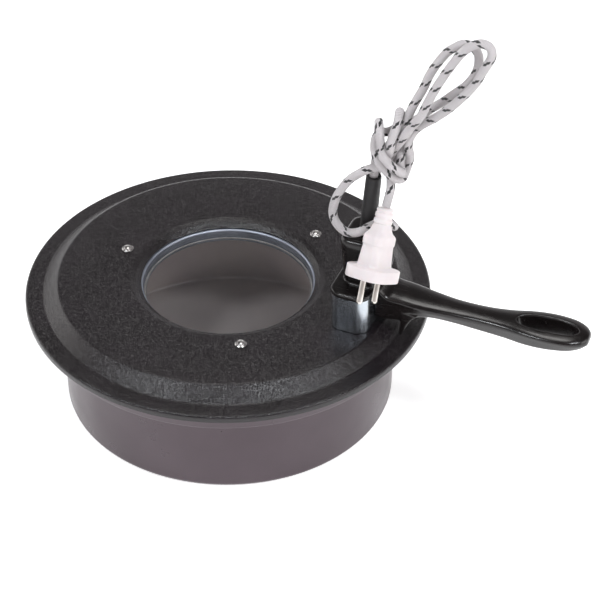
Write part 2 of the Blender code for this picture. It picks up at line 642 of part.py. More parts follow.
def make_plug():
    """Moulded two-pin plug: round pins, wide flange, tapered body and collar."""
    holder = bpy.data.objects.new("plug_axis", None)
    parts.objects.link(holder)
    holder.location = Vector(PLUG_TIP) * MM
    holder.rotation_euler = (-PLUG_LEAN, 0.0, 0.0)
    face = PIN_LENGTH
    top = face + PLUG_LENGTH
    sections = ((face, 17.2, 16.6, 12.0), (face + 1.0, 18.2, 17.6, 12.6), (face + 8.6, 18.2, 17.6, 12.6),
                (face + 9.6, 17.4, 16.8, 12.2), (face + 9.8, 12.5, 9.5, 6.0), (face + 26.0, 11.4, 8.6, 6.0),
                (face + 33.0, 11.4, 8.4, 6.0), (face + 36.0, 8.0, 7.6, 6.4), (face + 41.0, 6.6, 6.6, 6.2),
                (face + 44.0, 6.2, 6.2, 5.8), (top - 1.0, 5.8, 5.8, 5.4), (top, 5.0, 5.0, 4.8))
    rings = []
    for z, half_x, half_y, corner in sections:
        rings.append([(x, y, z) for x, y in rounded_rectangle((0, 0), (half_x, half_y), corner, 3)])
    body = loft("plug_body", rings, "plug_plastic")
    body.parent = holder
    body.rotation_euler.z = PLUG_TURN
    for number, side in enumerate((-1, 1), start=1):
        x, y = (side * PIN_SPACING / 2 * math.cos(PLUG_TURN), side * PIN_SPACING / 2 * math.sin(PLUG_TURN))
        pin = turned(f"plug_pin_{number}",
                     [(0.0, face - GAP), (PIN_R, face - GAP), (PIN_R, 1.4), (PIN_R - 0.9, 0.2),
                      (0.0, 0.0)], "nickel", segments=12)
        pin.parent = holder
        pin.location = (x * MM, y * MM, 0.0)


def build():
    start_collections()
    make_pan()
    make_lid_cover()
    make_window()
    make_heating()
    make_lid_screws()
    make_heat_sleeve()
    make_handle()
    make_handle_screws()
    make_terminals()
    make_strain_relief()
    make_cord()
    make_plug()
    bpy.context.view_layer.update()


build()
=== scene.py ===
"""Electric lidded melting pan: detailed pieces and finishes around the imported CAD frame.

Lengths in this script are millimetres unless a name ends in _M; MM turns them into metres.
The frame has its origin under the middle of the pan, +Z up and +X along the handle.
"""

import math

import bmesh
import bpy
import numpy as np
from mathutils import Matrix, Vector


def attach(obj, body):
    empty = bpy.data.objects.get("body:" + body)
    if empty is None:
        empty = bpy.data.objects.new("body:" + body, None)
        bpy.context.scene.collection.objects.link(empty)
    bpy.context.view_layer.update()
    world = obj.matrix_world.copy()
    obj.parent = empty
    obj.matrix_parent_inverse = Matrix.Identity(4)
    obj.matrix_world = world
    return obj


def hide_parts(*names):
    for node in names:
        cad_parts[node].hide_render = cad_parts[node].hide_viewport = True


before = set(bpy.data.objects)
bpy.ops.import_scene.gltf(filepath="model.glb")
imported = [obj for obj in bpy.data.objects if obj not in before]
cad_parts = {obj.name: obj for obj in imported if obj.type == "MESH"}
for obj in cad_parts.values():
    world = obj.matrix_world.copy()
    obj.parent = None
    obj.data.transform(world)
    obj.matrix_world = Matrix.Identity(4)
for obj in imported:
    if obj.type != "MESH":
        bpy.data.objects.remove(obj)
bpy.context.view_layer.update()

MM = 0.001

# Camera --------------------------------------------------------------------------------------

CAMERA_PLACE_M = (0.5589, -1.2264, 1.1353)
CAMERA_TURN_DEG = (51.899, -0.2, 22.245)
CAMERA_LENS = 129.06
SENSOR = 36.0
CAMERA_NEAR_M = 0.05


def make_camera():
    """A long lens looking down on the pan from the front, with the handle to the right."""
    data = bpy.data.cameras.new("camera")
    data.lens = CAMERA_LENS
    data.sensor_width = SENSOR
    data.clip_start = CAMERA_NEAR_M
    camera = bpy.data.objects.new("camera", data)
    camera.location = CAMERA_PLACE_M
    camera.rotation_euler = [math.radians(a) for a in CAMERA_TURN_DEG]
    bpy.context.scene.collection.objects.link(camera)
    bpy.context.scene.camera = camera


# Mesh helpers --------------------------------------------------------------------------------

def link(name, bm, material=None, smooth_angle=40.0):
    """An object from a bmesh in millimetres, shaded smooth up to an angle."""
    bmesh.ops.scale(bm, vec=(MM, MM, MM), verts=bm.verts)
    bmesh.ops.recalc_face_normals(bm, faces=bm.faces)
    mesh = bpy.data.meshes.new(name)
    bm.to_mesh(mesh)
    bm.free()
    mesh.shade_smooth()
    mesh.set_sharp_from_angle(angle=math.radians(smooth_angle))
    obj = bpy.data.objects.new(name, mesh)
    bpy.context.scene.collection.objects.link(obj)
    if material:
        mesh.materials.append(material)
    return obj


def applied(obj):
    """Replace an object's mesh with the result of its modifiers."""
    bpy.context.view_layer.update()
    graph = bpy.context.evaluated_depsgraph_get()
    mesh = bpy.data.meshes.new_from_object(obj.evaluated_get(graph))
    old = obj.data
    obj.modifiers.clear()
    obj.data = mesh
    mesh.name = old.name
    bpy.data.meshes.remove(old)
    return obj


def fillet(points, steps=6):
    """Round the corners of a polyline of (r, z, radius) points."""
    result = []
    count = len(points)
    for i, (r, z, radius) in enumerate(points):
        here = Vector((r, z))
        if radius <= 0 or i in (0, count - 1):
            result.append((r, z))
            continue
        before = Vector(points[i - 1][:2]) - here
        after = Vector(points[i + 1][:2]) - here
        half = before.angle(after) / 2
        reach = min(radius / math.tan(half), before.length * 0.49, after.length * 0.49)
        start = here + before.normalized() * reach
        end = here + after.normalized() * reach
        for step in range(steps + 1):
            t = step / steps
            p = start * (1 - t) ** 2 + here * 2 * t * (1 - t) + end * t ** 2
            result.append((p.x, p.y))
    return result


def offset(profile, distance):
    """The same polyline moved sideways, to the right of its direction."""
    moved = []
    for i, (r, z) in enumerate(profile):
        a = Vector(profile[max(i - 1, 0)])
        b = Vector(profile[min(i + 1, len(profile) - 1)])
        along = (b - a).normalized()
        moved.append((r + along.y * distance, z - along.x * distance))
    return moved


def lathe(name, profile, material, segments=192, closed=False, smooth_angle=40.0):
    """Turn (r, z) points about Z."""
    bm = bmesh.new()
    rings = []
    for r, z in profile:
        if r < 1e-6:
            rings.append([bm.verts.new((0, 0, z))])
        else:
            rings.append([bm.verts.new((r * math.cos(2 * math.pi * k / segments),
                                        r * math.sin(2 * math.pi * k / segments), z))
                          for k in range(segments)])
    pairs = list(zip(rings, rings[1:]))
    if closed:
        pairs.append((rings[-1], rings[0]))
    for near, far in pairs:
        for k in range(segments):
            n = (k + 1) % segments
            if len(near) == 1 and len(far) == 1:
                break
            if len(near) == 1:
                bm.faces.new((near[0], far[n], far[k]))
            elif len(far) == 1:
                bm.faces.new((near[k], near[n], far[0]))
            else:
                bm.faces.new((near[k], near[n], far[n], far[k]))
    return link(name, bm, material, smooth_angle)


def shell(name, outer, thickness, material, segments=192, inner_material=None):
    """A sheet-metal piece turned about Z from its outer profile, with its inner face's own finish."""
    inner = offset(outer, thickness)
    closed = outer[0][0] > 1e-6
    if not closed:
        inner[0] = (0.0, inner[0][1])
    obj = lathe(name, outer + inner[::-1], material, segments, closed=closed)
    if inner_material:
        obj.data.materials.append(inner_material)
        for face in obj.data.polygons:
            face.material_index = int(min(face.vertices) // segments >= len(outer) - 1)
    return obj


def rounded_rectangle(centre, half, corner, steps=8):
    """(x, y) points round a rectangle with rounded corners."""
    points = []
    for index, (sx, sy) in enumerate(((1, 1), (-1, 1), (-1, -1), (1, -1))):
        cx = centre[0] + sx * (half[0] - corner)
        cy = centre[1] + sy * (half[1] - corner)
        for step in range(steps + 1):
            angle = math.radians(90 * index + 90 * step / steps)
            points.append((cx + corner * math.cos(angle), cy + corner * math.sin(angle)))
    return points


def loft(name, rings, material=None, caps=True, smooth_angle=40.0):
    """Skin rings of equally many (x, y, z) points."""
    bm = bmesh.new()
    rows = [[bm.verts.new(p) for p in ring] for ring in rings]
    count = len(rows[0])
    for near, far in zip(rows, rows[1:]):
        for i in range(count):
            j = (i + 1) % count
            bm.faces.new((near[i], near[j], far[j], far[i]))
    if caps:
        bm.faces.new(rows[0])
        bm.faces.new(rows[-1])
    else:
        for i in range(count):
            j = (i + 1) % count
            bm.faces.new((rows[-1][i], rows[-1][j], rows[0][j], rows[0][i]))
    return link(name, bm, material, smooth_angle)


def boolean(target, other, operation):
    """Join another object to a target or cut it out, as a modifier."""
    modifier = target.modifiers.new(operation.lower(), "BOOLEAN")
    modifier.operation = operation
    modifier.solver = "EXACT"
    modifier.object = other


def scrap(*objects):
    """Remove helper objects and the meshes that nothing else uses."""
    for obj in objects:
        mesh = obj.data
        bpy.data.objects.remove(obj, do_unlink=True)
        if mesh.users == 0:
            bpy.data.meshes.remove(mesh)


def catmull(points, steps=24):
    """Dense points along a Catmull-Rom curve."""
    knots = [Vector(p) for p in points]
    knots = [2 * knots[0] - knots[1]] + knots + [2 * knots[-1] - knots[-2]]
    dense = []
    for a, b, c, d in zip(knots, knots[1:], knots[2:], knots[3:]):
        for step in range(steps):
            t = step / steps
            dense.append(0.5 * (2 * b + (c - a) * t + (2 * a - 5 * b + 4 * c - d) * t ** 2
                                + (3 * b - a - 3 * c + d) * t ** 3))
    dense.append(knots[-2])
    return np.array([tuple(p) for p in dense])


def resample(points, spacing):
    """Even points along a polyline."""
    steps = np.linalg.norm(np.diff(points, axis=0), axis=1)
    walked = np.concatenate([[0.0], np.cumsum(steps)])
    count = max(2, int(round(walked[-1] / spacing)))
    at = np.linspace(0, walked[-1], count + 1)
    return np.stack([np.interp(at, walked, points[:, k]) for k in range(3)], axis=1)


def tube(name, route, radius, material, around=24, uv_name="cord"):
    """A round tube along even points, with turns and metres run as its UV map."""
    points = [Vector(p) for p in route]
    tangents = [(points[min(i + 1, len(points) - 1)] - points[max(i - 1, 0)]).normalized()
                for i in range(len(points))]
    normal = tangents[0].orthogonal().normalized()
    bm = bmesh.new()
    uv = bm.loops.layers.uv.new(uv_name)
    rows = []
    runs = [0.0]
    for i, (p, t) in enumerate(zip(points, tangents)):
        normal = (normal - t * normal.dot(t)).normalized()
        side = t.cross(normal)
        reach = radius(i / (len(points) - 1)) if callable(radius) else radius
        rows.append([bm.verts.new(p + (normal * math.cos(a) + side * math.sin(a)) * reach)
                     for a in (2 * math.pi * k / around for k in range(around))])
        if i:
            runs.append(runs[-1] + (p - points[i - 1]).length * MM)
    for i, (near, far) in enumerate(zip(rows, rows[1:])):
        for k in range(around):
            n = (k + 1) % around
            face = bm.faces.new((near[k], near[n], far[n], far[k]))
            for loop, (turn, run) in zip(face.loops, ((k, i), (k + 1, i), (k + 1, i + 1), (k, i + 1))):
                loop[uv].uv = (turn / around, runs[run])
    bm.faces.new(rows[0])
    bm.faces.new(rows[-1])
    return link(name, bm, material, 80.0)


# Material helpers ----------------------------------------------------------------------------

class Finish:
    """A Principled material with short calls for its nodes."""

    def __init__(self, name, colour, roughness, metallic=0.0, **inputs):
        self.material = bpy.data.materials.new(name)
        self.material.use_nodes = True
        self.tree = self.material.node_tree
        self.shader = self.tree.nodes["Principled BSDF"]
        self.shader.inputs["Base Color"].default_value = (*colour, 1.0)
        self.shader.inputs["Roughness"].default_value = roughness
        self.shader.inputs["Metallic"].default_value = metallic
        for key, value in inputs.items():
            self.shader.inputs[key.replace("_", " ")].default_value = value

    def node(self, kind, settings=(), **inputs):
        """A node with its inputs set or linked, by name or, as i0 and i1, by number."""
        made = self.tree.nodes.new(kind)
        for key, value in dict(settings).items():
            setattr(made, key, value)
        for key, value in inputs.items():
            numbered = key[0] == "i" and key[1:].isdigit()
            socket = made.inputs[int(key[1:]) if numbered else key.replace("_", " ")]
            if hasattr(value, "is_output"):
                self.tree.links.new(value, socket)
            else:
                socket.default_value = value
        return made

    def place(self, scale=(1.0, 1.0, 1.0)):
        """Object coordinates in metres, stretched by a scale."""
        where = self.node("ShaderNodeTexCoord").outputs["Object"]
        return self.node("ShaderNodeMapping", Vector=where, Scale=scale).outputs[0]

    def noise(self, scale, detail=2.0, stretch=(1.0, 1.0, 1.0), roughness=0.5):
        return self.node("ShaderNodeTexNoise", Vector=self.place(stretch), Scale=scale, Detail=detail,
                         Roughness=roughness).outputs["Fac"]

    def math(self, operation, a, b=0.0):
        return self.node("ShaderNodeMath", {"operation": operation}, i0=a, i1=b).outputs[0]

    def spread(self, value, low, high, to_low=0.0, to_high=1.0):
        return self.node("ShaderNodeMapRange", {"clamp": True}, Value=value, From_Min=low, From_Max=high,
                         To_Min=to_low, To_Max=to_high).outputs[0]

    def mix(self, factor, a, b):
        made = self.node("ShaderNodeMix", {"data_type": "RGBA"})
        for key, value in ((0, factor), (6, a), (7, b)):
            if hasattr(value, "is_output"):
                self.tree.links.new(value, made.inputs[key])
            else:
                made.inputs[key].default_value = value if key == 0 else (*value, 1.0)
        return made.outputs[2]

    def set(self, key, value):
        self.tree.links.new(value, self.shader.inputs[key])

    def bump(self, height, distance, strength=1.0, under=None):
        made = self.node("ShaderNodeBump", Height=height, Distance=distance, Strength=strength)
        if under is not None:
            self.tree.links.new(under, made.inputs["Normal"])
        return made.outputs["Normal"]


def varied(name, colour, other, scale, roughness, spread=0.08, bump_scale=600.0, bump_depth=0.00004,
           metallic=0.0, stretch=(1.0, 1.0, 1.0), **inputs):
    """A finish with cloudy colour, uneven gloss and a fine surface grain."""
    finish = Finish(name, colour, roughness, metallic, **inputs)
    cloud = finish.noise(scale, 4.0, stretch)
    finish.set("Base Color", finish.mix(finish.spread(cloud, 0.35, 0.65), colour, other))
    gloss = finish.noise(scale * 2.3, 3.0, stretch)
    finish.set("Roughness", finish.spread(gloss, 0.3, 0.7, max(roughness - spread, 0.03), roughness + spread))
    finish.set("Normal", finish.bump(finish.noise(bump_scale, 2.0, stretch), bump_depth))
    return finish


def lid_enamel():
    """Black enamel with an orange-peel surface over slow waves."""
    finish = Finish("lid_enamel", (0.008, 0.006, 0.007), 0.13, IOR=1.5)
    finish.set("Base Color", finish.mix(finish.spread(finish.noise(35.0, 4.0), 0.4, 0.7),
                                        (0.007, 0.005, 0.006), (0.011, 0.008, 0.010)))
    finish.set("Roughness", finish.spread(finish.noise(60.0, 3.0), 0.3, 0.7, 0.12, 0.16))
    peel = finish.bump(finish.noise(1150.0, 1.0), 0.00040)
    wave = finish.bump(finish.noise(90.0, 1.0), 0.00004, 1.0, peel)
    finish.set("Normal", wave)
    return finish.material


def pan_enamel():
    """Dark plum-brown enamel with a soft gloss."""
    finish = Finish("pan_enamel", (0.032, 0.020, 0.026), 0.32, IOR=1.62,
                    Specular_Tint=(1.0, 0.84, 0.92, 1.0))
    finish.set("Base Color", finish.mix(finish.spread(finish.noise(18.0, 5.0), 0.35, 0.7),
                                        (0.030, 0.020, 0.025), (0.042, 0.030, 0.036)))
    finish.set("Roughness", finish.spread(finish.noise(40.0, 4.0), 0.3, 0.7, 0.27, 0.36))
    finish.set("Normal", finish.bump(finish.noise(900.0, 2.0), 0.00005))
    return finish.material


def pan_inside():
    """The pan's inner face: a lighter satin grey."""
    finish = Finish("pan_inside", (0.66, 0.60, 0.59), 0.42, 0.5)
    finish.set("Base Color", finish.mix(finish.spread(finish.noise(22.0, 5.0), 0.35, 0.7),
                                        (0.64, 0.58, 0.575), (0.74, 0.68, 0.655)))
    finish.set("Roughness", finish.spread(finish.noise(50.0, 4.0), 0.3, 0.7, 0.34, 0.46))
    finish.set("Normal", finish.bump(finish.noise(700.0, 2.0), 0.00006))
    return finish.material


def bakelite():
    """Moulded black phenolic: glossy, faintly brown, with long soft waves and hairline wear."""
    finish = Finish("bakelite", (0.006, 0.0045, 0.0045), 0.24, IOR=1.5)
    finish.set("Base Color", finish.mix(finish.spread(finish.noise(30.0, 5.0), 0.4, 0.75),
                                        (0.005, 0.0038, 0.0038), (0.010, 0.007, 0.007)))
    scuffs = finish.noise(260.0, 4.0, (0.25, 1.0, 1.0))
    finish.set("Roughness", finish.spread(scuffs, 0.35, 0.75, 0.20, 0.30))
    waves = finish.bump(finish.noise(45.0, 1.0), 0.00006)
    finish.set("Normal", finish.bump(finish.noise(900.0, 2.0), 0.00002, 1.0, waves))
    return finish.material


def zinc():
    """Zinc plate: bright and slightly blue, with drawing lines and darker stains."""
    finish = Finish("zinc", (0.46, 0.51, 0.57), 0.24, 1.0)
    finish.set("Base Color", finish.mix(finish.spread(finish.noise(55.0, 5.0), 0.35, 0.7),
                                        (0.56, 0.60, 0.64), (0.44, 0.49, 0.55)))
    lines = finish.noise(420.0, 3.0, (1.0, 1.0, 0.06))
    finish.set("Roughness", finish.spread(lines, 0.3, 0.7, 0.20, 0.27))
    finish.set("Normal", finish.bump(lines, 0.000003))
    return finish.material


def braid():
    """White cotton braid with paired black tracer threads that come up four times a turn, and painted shade
    in the hollows between its yarns.
    """
    finish = Finish("braid", (0.86, 0.83, 0.83), 0.85, Sheen_Weight=0.25, Sheen_Roughness=0.5)
    uv = finish.node("ShaderNodeUVMap", {"uv_map": "cord"}).outputs[0]
    split = finish.node("ShaderNodeSeparateXYZ", Vector=uv).outputs
    turns, run = split[0], split[1]
    advance = finish.math("DIVIDE", run, TRACER_PITCH_M)
    lag = finish.math("SUBTRACT", finish.math("FRACT", finish.math("SUBTRACT", advance, turns)), 0.5)
    beat = finish.math("SUBTRACT", finish.math("FRACT", finish.math("MULTIPLY", turns, 4.0)), 0.5)
    bars = []
    for shift, side in ((-0.14, -0.042), (0.14, 0.042)):
        along = finish.math("ABSOLUTE", finish.math("ADD", beat, shift))
        across = finish.math("ABSOLUTE", finish.math("ADD", lag, side))
        bars.append(finish.math("MULTIPLY", finish.math("LESS_THAN", along, 0.25),
                                finish.math("LESS_THAN", across, 0.072)))
    fleck = finish.math("MAXIMUM", bars[0], bars[1])
    waves = []
    for sense in (1.0, -1.0):
        count = finish.math("MULTIPLY", finish.math("ADD", finish.math("MULTIPLY", advance, sense), turns),
                            2 * math.pi * YARNS)
        waves.append(finish.math("SINE", count))
    weave = finish.math("MULTIPLY", waves[0], waves[1])
    fibre = finish.noise(2400.0, 2.0)
    # The weave darkens the cotton where its yarns dip, which is painted shade in the hollows between yarns.
    # The fibre noise adds random tone.
    shade = finish.spread(finish.math("ADD", weave, fibre), -0.5, 0.9)
    cotton = finish.mix(shade, (0.44, 0.40, 0.42), (0.94, 0.90, 0.91))
    finish.set("Base Color", finish.mix(fleck, cotton, (0.012, 0.010, 0.012)))
    height = finish.math("ADD", weave, finish.math("MULTIPLY", fibre, 0.6))
    finish.set("Normal", finish.bump(height, 0.00045))
    return finish.material


def plug_plastic():
    """White moulded plastic, slightly warm and cloudy."""
    finish = Finish("plug_plastic", (0.72, 0.665, 0.67), 0.34, IOR=1.5, Subsurface_Weight=0.06,
                    Subsurface_Scale=0.002)
    finish.set("Base Color", finish.mix(finish.spread(finish.noise(70.0, 4.0), 0.35, 0.7),
                                        (0.73, 0.675, 0.68), (0.68, 0.62, 0.63)))
    finish.set("Roughness", finish.spread(finish.noise(120.0, 3.0), 0.3, 0.7, 0.32, 0.46))
    finish.set("Normal", finish.bump(finish.noise(1300.0, 2.0), 0.00003))
    return finish.material


def window_glass():
    """Nearly clear glass, so that light reaches the pan's inside."""
    finish = Finish("glass", (0.10, 0.10, 0.105), 0.02, IOR=1.5, Alpha=0.10)
    finish.set("Roughness", finish.spread(finish.noise(30.0, 4.0), 0.45, 0.8, 0.015, 0.06))
    finish.set("Normal", finish.bump(finish.noise(25.0, 1.0), 0.00002))
    return finish.material


# Cord ----------------------------------------------------------------------------------------

CORD_R = 3.3
TRACER_PITCH_M = 0.018
YARNS = 12

# The route is sampled, eased apart near the knot, and sampled again for the tube
ROUTE_STEP = 2.0
TUBE_STEP = 1.2
TUBE_FILL = 4
EASED_WITHIN = 46.0
FIXED_AT_EXIT = 16
FIXED_AT_PLUG = 12
EASE_ROUNDS = 120
EASE_SMOOTHINGS = 3
# In cord radii: how far along a strand its neighbours begin, and how far apart strands are pushed
NEIGHBOUR_REACH = 3.0
STRAND_GAP = 2.04
EASE_STEP = 0.5
EASE_KEEP = 0.998

# The knot's own frame: across to the right, height, and depth towards the plug's side
KNOT_CENTRE = Vector((132.8, 0.5, 258.0))
KNOT_ACROSS = Vector((0.910, 0.415, 0.0))
KNOT_DEPTH = Vector((0.415, -0.910, 0.0))

# The cord's stretches in order, from inside the strain relief to the plug: plain points are
# (x, y, z), and those that pass through in_knot() are (across, height, depth) in the knot's frame
IN_TUBE = ((117.4, 0, 203), (118.3, 0, 215), (119.0, 0, 225))
UP_TO_LEFT_BIGHT = ((-12, -20, -4.5), (-10.5, -8, -3), (-10, -0.5, -3), (-9, 6.5, -3.5), (-8, 12.5, -4.5),
                    (-8, 18, -3))
LEFT_BIGHT_DOWN = ((-8.5, 22.5, 0.5), (-8.5, 21.5, 4), (-8, 17.5, 5.5), (-7, 11, 4.5), (-5.5, 4, 4),
                   (-3.5, -1, 7.5), (0.5, -6, 10), (4, -10.5, 10), (7, -15, 7.5), (7.5, -17.5, 4))
INSIDE_UP_RIGHT = ((6.5, -16.5, 1), (5, -10, 1), (5, -4.5, 0.5), (6.5, 0, -2.5), (9, 5.5, -4.5),
                   (12, 12.5, -5.5))
INNER_LOOP = ((145, 10, 279), (150.5, 9.5, 285), (157.5, 8.5, 293.5), (167, 7, 303), (177, 5.5, 314),
              (183.5, 5, 321), (189, 5, 329.5), (192, 5, 338), (192.5, 5, 346), (191, 5, 351),
              (186.5, 5, 355), (180.5, 5, 355), (173.5, 5, 350), (167.5, 5, 343.5), (158.5, 4.5, 327.5),
              (153, 4, 312), (149, 3, 303), (145.5, 1.5, 293.5), (141.5, -1.5, 280))
THROUGH_TO_BACK = ((3.5, 11.5, 1), (0, 3, -3), (-3.5, -6, -6), (-7, -14, -8.5), (-9, -20.5, -12))
LOWER_LOOP = ((119.3, 11.4, 233), (116.5, 11.8, 223.7), (114.2, 12.2, 214.2), (113, 12.5, 204),
              (114.5, 12.6, 195), (119.5, 12.8, 188.5), (126.5, 11.5, 185.6), (132.5, 8, 184.8),
              (135.5, 3.5, 187), (133, -1, 192), (128.5, -5, 195.5), (123.8, -9, 194),
              (119, -12.5, 191.5), (113.8, -15.5, 188.5), (105, -16, 186.5), (97, -15, 191),
              (93, -14, 199), (94, -13, 210), (98, -12, 220), (104, -10, 230), (110.5, -9, 236.5),
              (116, -8, 241))
UP_TO_RIGHT_BIGHT = ((-11, -14, 1), (-7, -13.5, 0.5), (-4, -9, 1), (-3.5, 0, 4.5), (-3, 7.5, 7.5),
                     (-2, 14.5, 8.5), (0, 21, 9), (2.5, 28, 8), (3.5, 32.5, 5.5))
RIGHT_BIGHT_DOWN = ((4.5, 32.5, 2), (6, 26, -1), (6.5, 19, -2.5), (3.5, 12, -4), (-1, 10.5, -3),
                    (-5, 12.5, -1))
LEFT_WRAP = ((-8, 13, 0), (-10.5, 10, 1), (-11.3, 4, 3), (-11, -1.5, 5), (-9, -7, 7),
             (-5.5, -12.5, 7.5), (-1.5, -18, 7.5), (2, -22, 5.5), (5.5, -24.5, 2.5))
RIGHT_WRAP = ((7.5, -24, -1), (9.2, -18.5, -2.5), (10, -10.5, -1), (9.4, -3, 1), (8.6, 3, 2.5),
              (9.6, 10, 3.5), (12.5, 16, 4))
OUTER_LOOP = ((149.5, 3, 279), (155.5, 2, 285), (164.5, 0.5, 293), (175.5, -1, 305), (185, -2, 317.5),
              (193.5, -2.5, 330.5), (198, -3, 341), (202, -3, 349.5), (204, -3, 356), (202, -3, 362),
              (194.5, -3, 363), (184, -3, 355), (175, -3.5, 340.5), (166.5, -4, 323.5),
              (159.5, -4.5, 307), (156, -5.5, 297))
DOWN_TO_PLUG = ((12.5, 28, 11), (8, 21, 10), (4.5, 12, 6), (1.5, 3, 2), (0.5, -5, -1), (-0.5, -12, -2.5),
                (-0.5, -19, -2), (-0.5, -25, 2))
PLUG_LEAD = ((134.8, -5.6, 227), (134.2, -8.4, 220), (133.7, -11.4, 214.6))


def in_knot(points):
    """Points of the knot's frame, placed."""
    return [KNOT_CENTRE + KNOT_ACROSS * a + Vector((0, 0, h)) + KNOT_DEPTH * d for a, h, d in points]


def eased(route, fixed):
    """Push strands that lie in each other apart, and keep the curve smooth."""
    start = route.copy()
    spacing = np.linalg.norm(route[1] - route[0])
    index = np.arange(len(route))
    far = np.abs(index[:, None] - index[None, :]) * spacing > NEIGHBOUR_REACH * CORD_R
    free = (~fixed)[:, None]
    for _ in range(EASE_ROUNDS):
        gap = route[:, None, :] - route[None, :, :]
        distance = np.linalg.norm(gap, axis=2) + 1e-9
        short = np.clip(STRAND_GAP * CORD_R - distance, 0, None) * far
        push = gap / distance[:, :, None] * short[:, :, None]
        count = np.maximum((short > 0).sum(axis=1), 1)[:, None]
        moved = route + free * push.sum(axis=1) / count * EASE_STEP - start
        for _ in range(EASE_SMOOTHINGS):
            moved[1:-1] = moved[1:-1] * 0.5 + (moved[:-2] + moved[2:]) * 0.25
        route = start + moved * free * EASE_KEEP
    return route


def make_cord(material):
    """One strand from the strain relief through the knot and its loops to the plug."""
    stretches = [IN_TUBE, in_knot(UP_TO_LEFT_BIGHT), in_knot(LEFT_BIGHT_DOWN), in_knot(INSIDE_UP_RIGHT),
                 INNER_LOOP, in_knot(THROUGH_TO_BACK), LOWER_LOOP, in_knot(UP_TO_RIGHT_BIGHT),
                 in_knot(RIGHT_BIGHT_DOWN), in_knot(LEFT_WRAP), in_knot(RIGHT_WRAP), OUTER_LOOP,
                 in_knot(DOWN_TO_PLUG), PLUG_LEAD]
    points = [Vector(p) for stretch in stretches for p in stretch]
    route = resample(catmull(points), ROUTE_STEP)
    from_knot = np.linalg.norm(route - np.array(tuple(KNOT_CENTRE)), axis=1)
    fixed = from_knot > EASED_WITHIN
    fixed[:FIXED_AT_EXIT] = True
    fixed[-FIXED_AT_PLUG:] = True
    route = eased(route, fixed)
    route = resample(catmull([tuple(p) for p in route], TUBE_FILL), TUBE_STEP)
    cord = tube("cord_braided", route, CORD_R, material)
    length = float(np.linalg.norm(np.diff(route, axis=0), axis=1).sum()) * MM
    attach(cord, "lid")
    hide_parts("cord_root", "cord_knot", "cord_loop_outer", "cord_loop_inner", "cord_loop_lower",
                "cord_plug_lead")
    return cord, route * MM, length


# Lid, pan and window -------------------------------------------------------------------------

# Outer face of the lid, from the window's edge down to the hem: radius, height, rounding
LID_OUTER = ((68.6, 100.1, 0), (69.0, 100.5, 0.3), (72.4, 103.4, 1.2), (76.6, 105.0, 1.6),
             (100.0, 105.0, 0), (133.8, 105.0, 5.0), (146.0, 95.0, 3.6), (160.0, 95.0, 2.6),
             (160.0, 89.8, 0))
LID_SHEET = 1.0
# The other turned pieces, in the same three numbers
PAN_OUTER = ((0, 0, 0), (132.0, 0, 4.2), (132.5, 68.0, 1.6), (148.6, 74.0, 2.4), (151.0, 92.2, 1.2),
             (154.5, 92.3, 0))
PAN_SHEET = 1.2
REFLECTOR_OUTER = ((77.2, 96.7, 0), (80.0, 88.2, 2.4), (130.0, 88.2, 5.0), (130.0, 102.4, 0))
REFLECTOR_SHEET = 0.8
COLLAR_OUTER = ((65.2, 90.0, 0), (68.0, 90.0, 0.6), (68.0, 98.0, 0.8), (77.5, 98.0, 0))
COLLAR_SHEET = 0.9
PANE_OUTER = ((0, 95.4, 0), (66.6, 95.4, 0.4), (66.6, 92.4, 0.4), (0, 92.4, 0))
SEAL_OUTER = ((65.4, 91.7, 0), (65.4, 92.1, 0.2), (66.7, 92.1, 0.2), (66.7, 91.3, 0.2),
              (65.4, 91.3, 0.2), (65.4, 91.6, 0))


def make_lid(material):
    lid = shell("lid_shell", fillet(LID_OUTER), LID_SHEET, material)
    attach(lid, "lid")
    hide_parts("lid_cover")


def make_pan(material, inner_material):
    pan = shell("pan_shell", fillet(PAN_OUTER), -PAN_SHEET, material, inner_material=inner_material)
    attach(pan, "pan")
    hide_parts("pan")


def collar_finish():
    return varied("collar_zinc", (0.40, 0.43, 0.50), (0.30, 0.33, 0.39), 60.0, 0.42, metallic=0.85,
                  bump_scale=900.0, bump_depth=0.00002).material


def make_window(zinc_finish, glass_finish, seal_finish):
    collar = shell("window_ring", fillet(COLLAR_OUTER), -COLLAR_SHEET, zinc_finish)
    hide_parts("window_collar")
    pane = lathe("window_pane", fillet(PANE_OUTER, 3), glass_finish, 128)
    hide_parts("window_glass")
    seal = lathe("window_gasket", fillet(SEAL_OUTER, 3), seal_finish, 96, closed=True)
    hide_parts("window_seal")
    for piece in (collar, pane, seal):
        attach(piece, "lid")


def make_reflector(material):
    dish = shell("reflector_dish", fillet(REFLECTOR_OUTER), -REFLECTOR_SHEET, material, 144)
    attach(dish, "lid")
    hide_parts("reflector")


SCREW_CIRCLE_R = 87.7
SCREW_ANGLES = (180.0, 60.0, -60.0)
# Domed head standing in a turned cup washer, and its shank down to the nut
SCREW_OUTER = ((0, 107.2, 0), (1.6, 107.1, 0), (2.9, 106.5, 0.6), (3.2, 105.75, 0.3), (3.9, 106.0, 0.3),
               (4.6, 105.5, 0.3), (4.6, 105.1, 0.1), (1.9, 105.1, 0), (1.9, 84.0, 0.3), (0, 84.0, 0))
SCREW_SLOT_HALF = (2.7, 0.42)
SCREW_SLOT_Z = (106.5, 108.5)


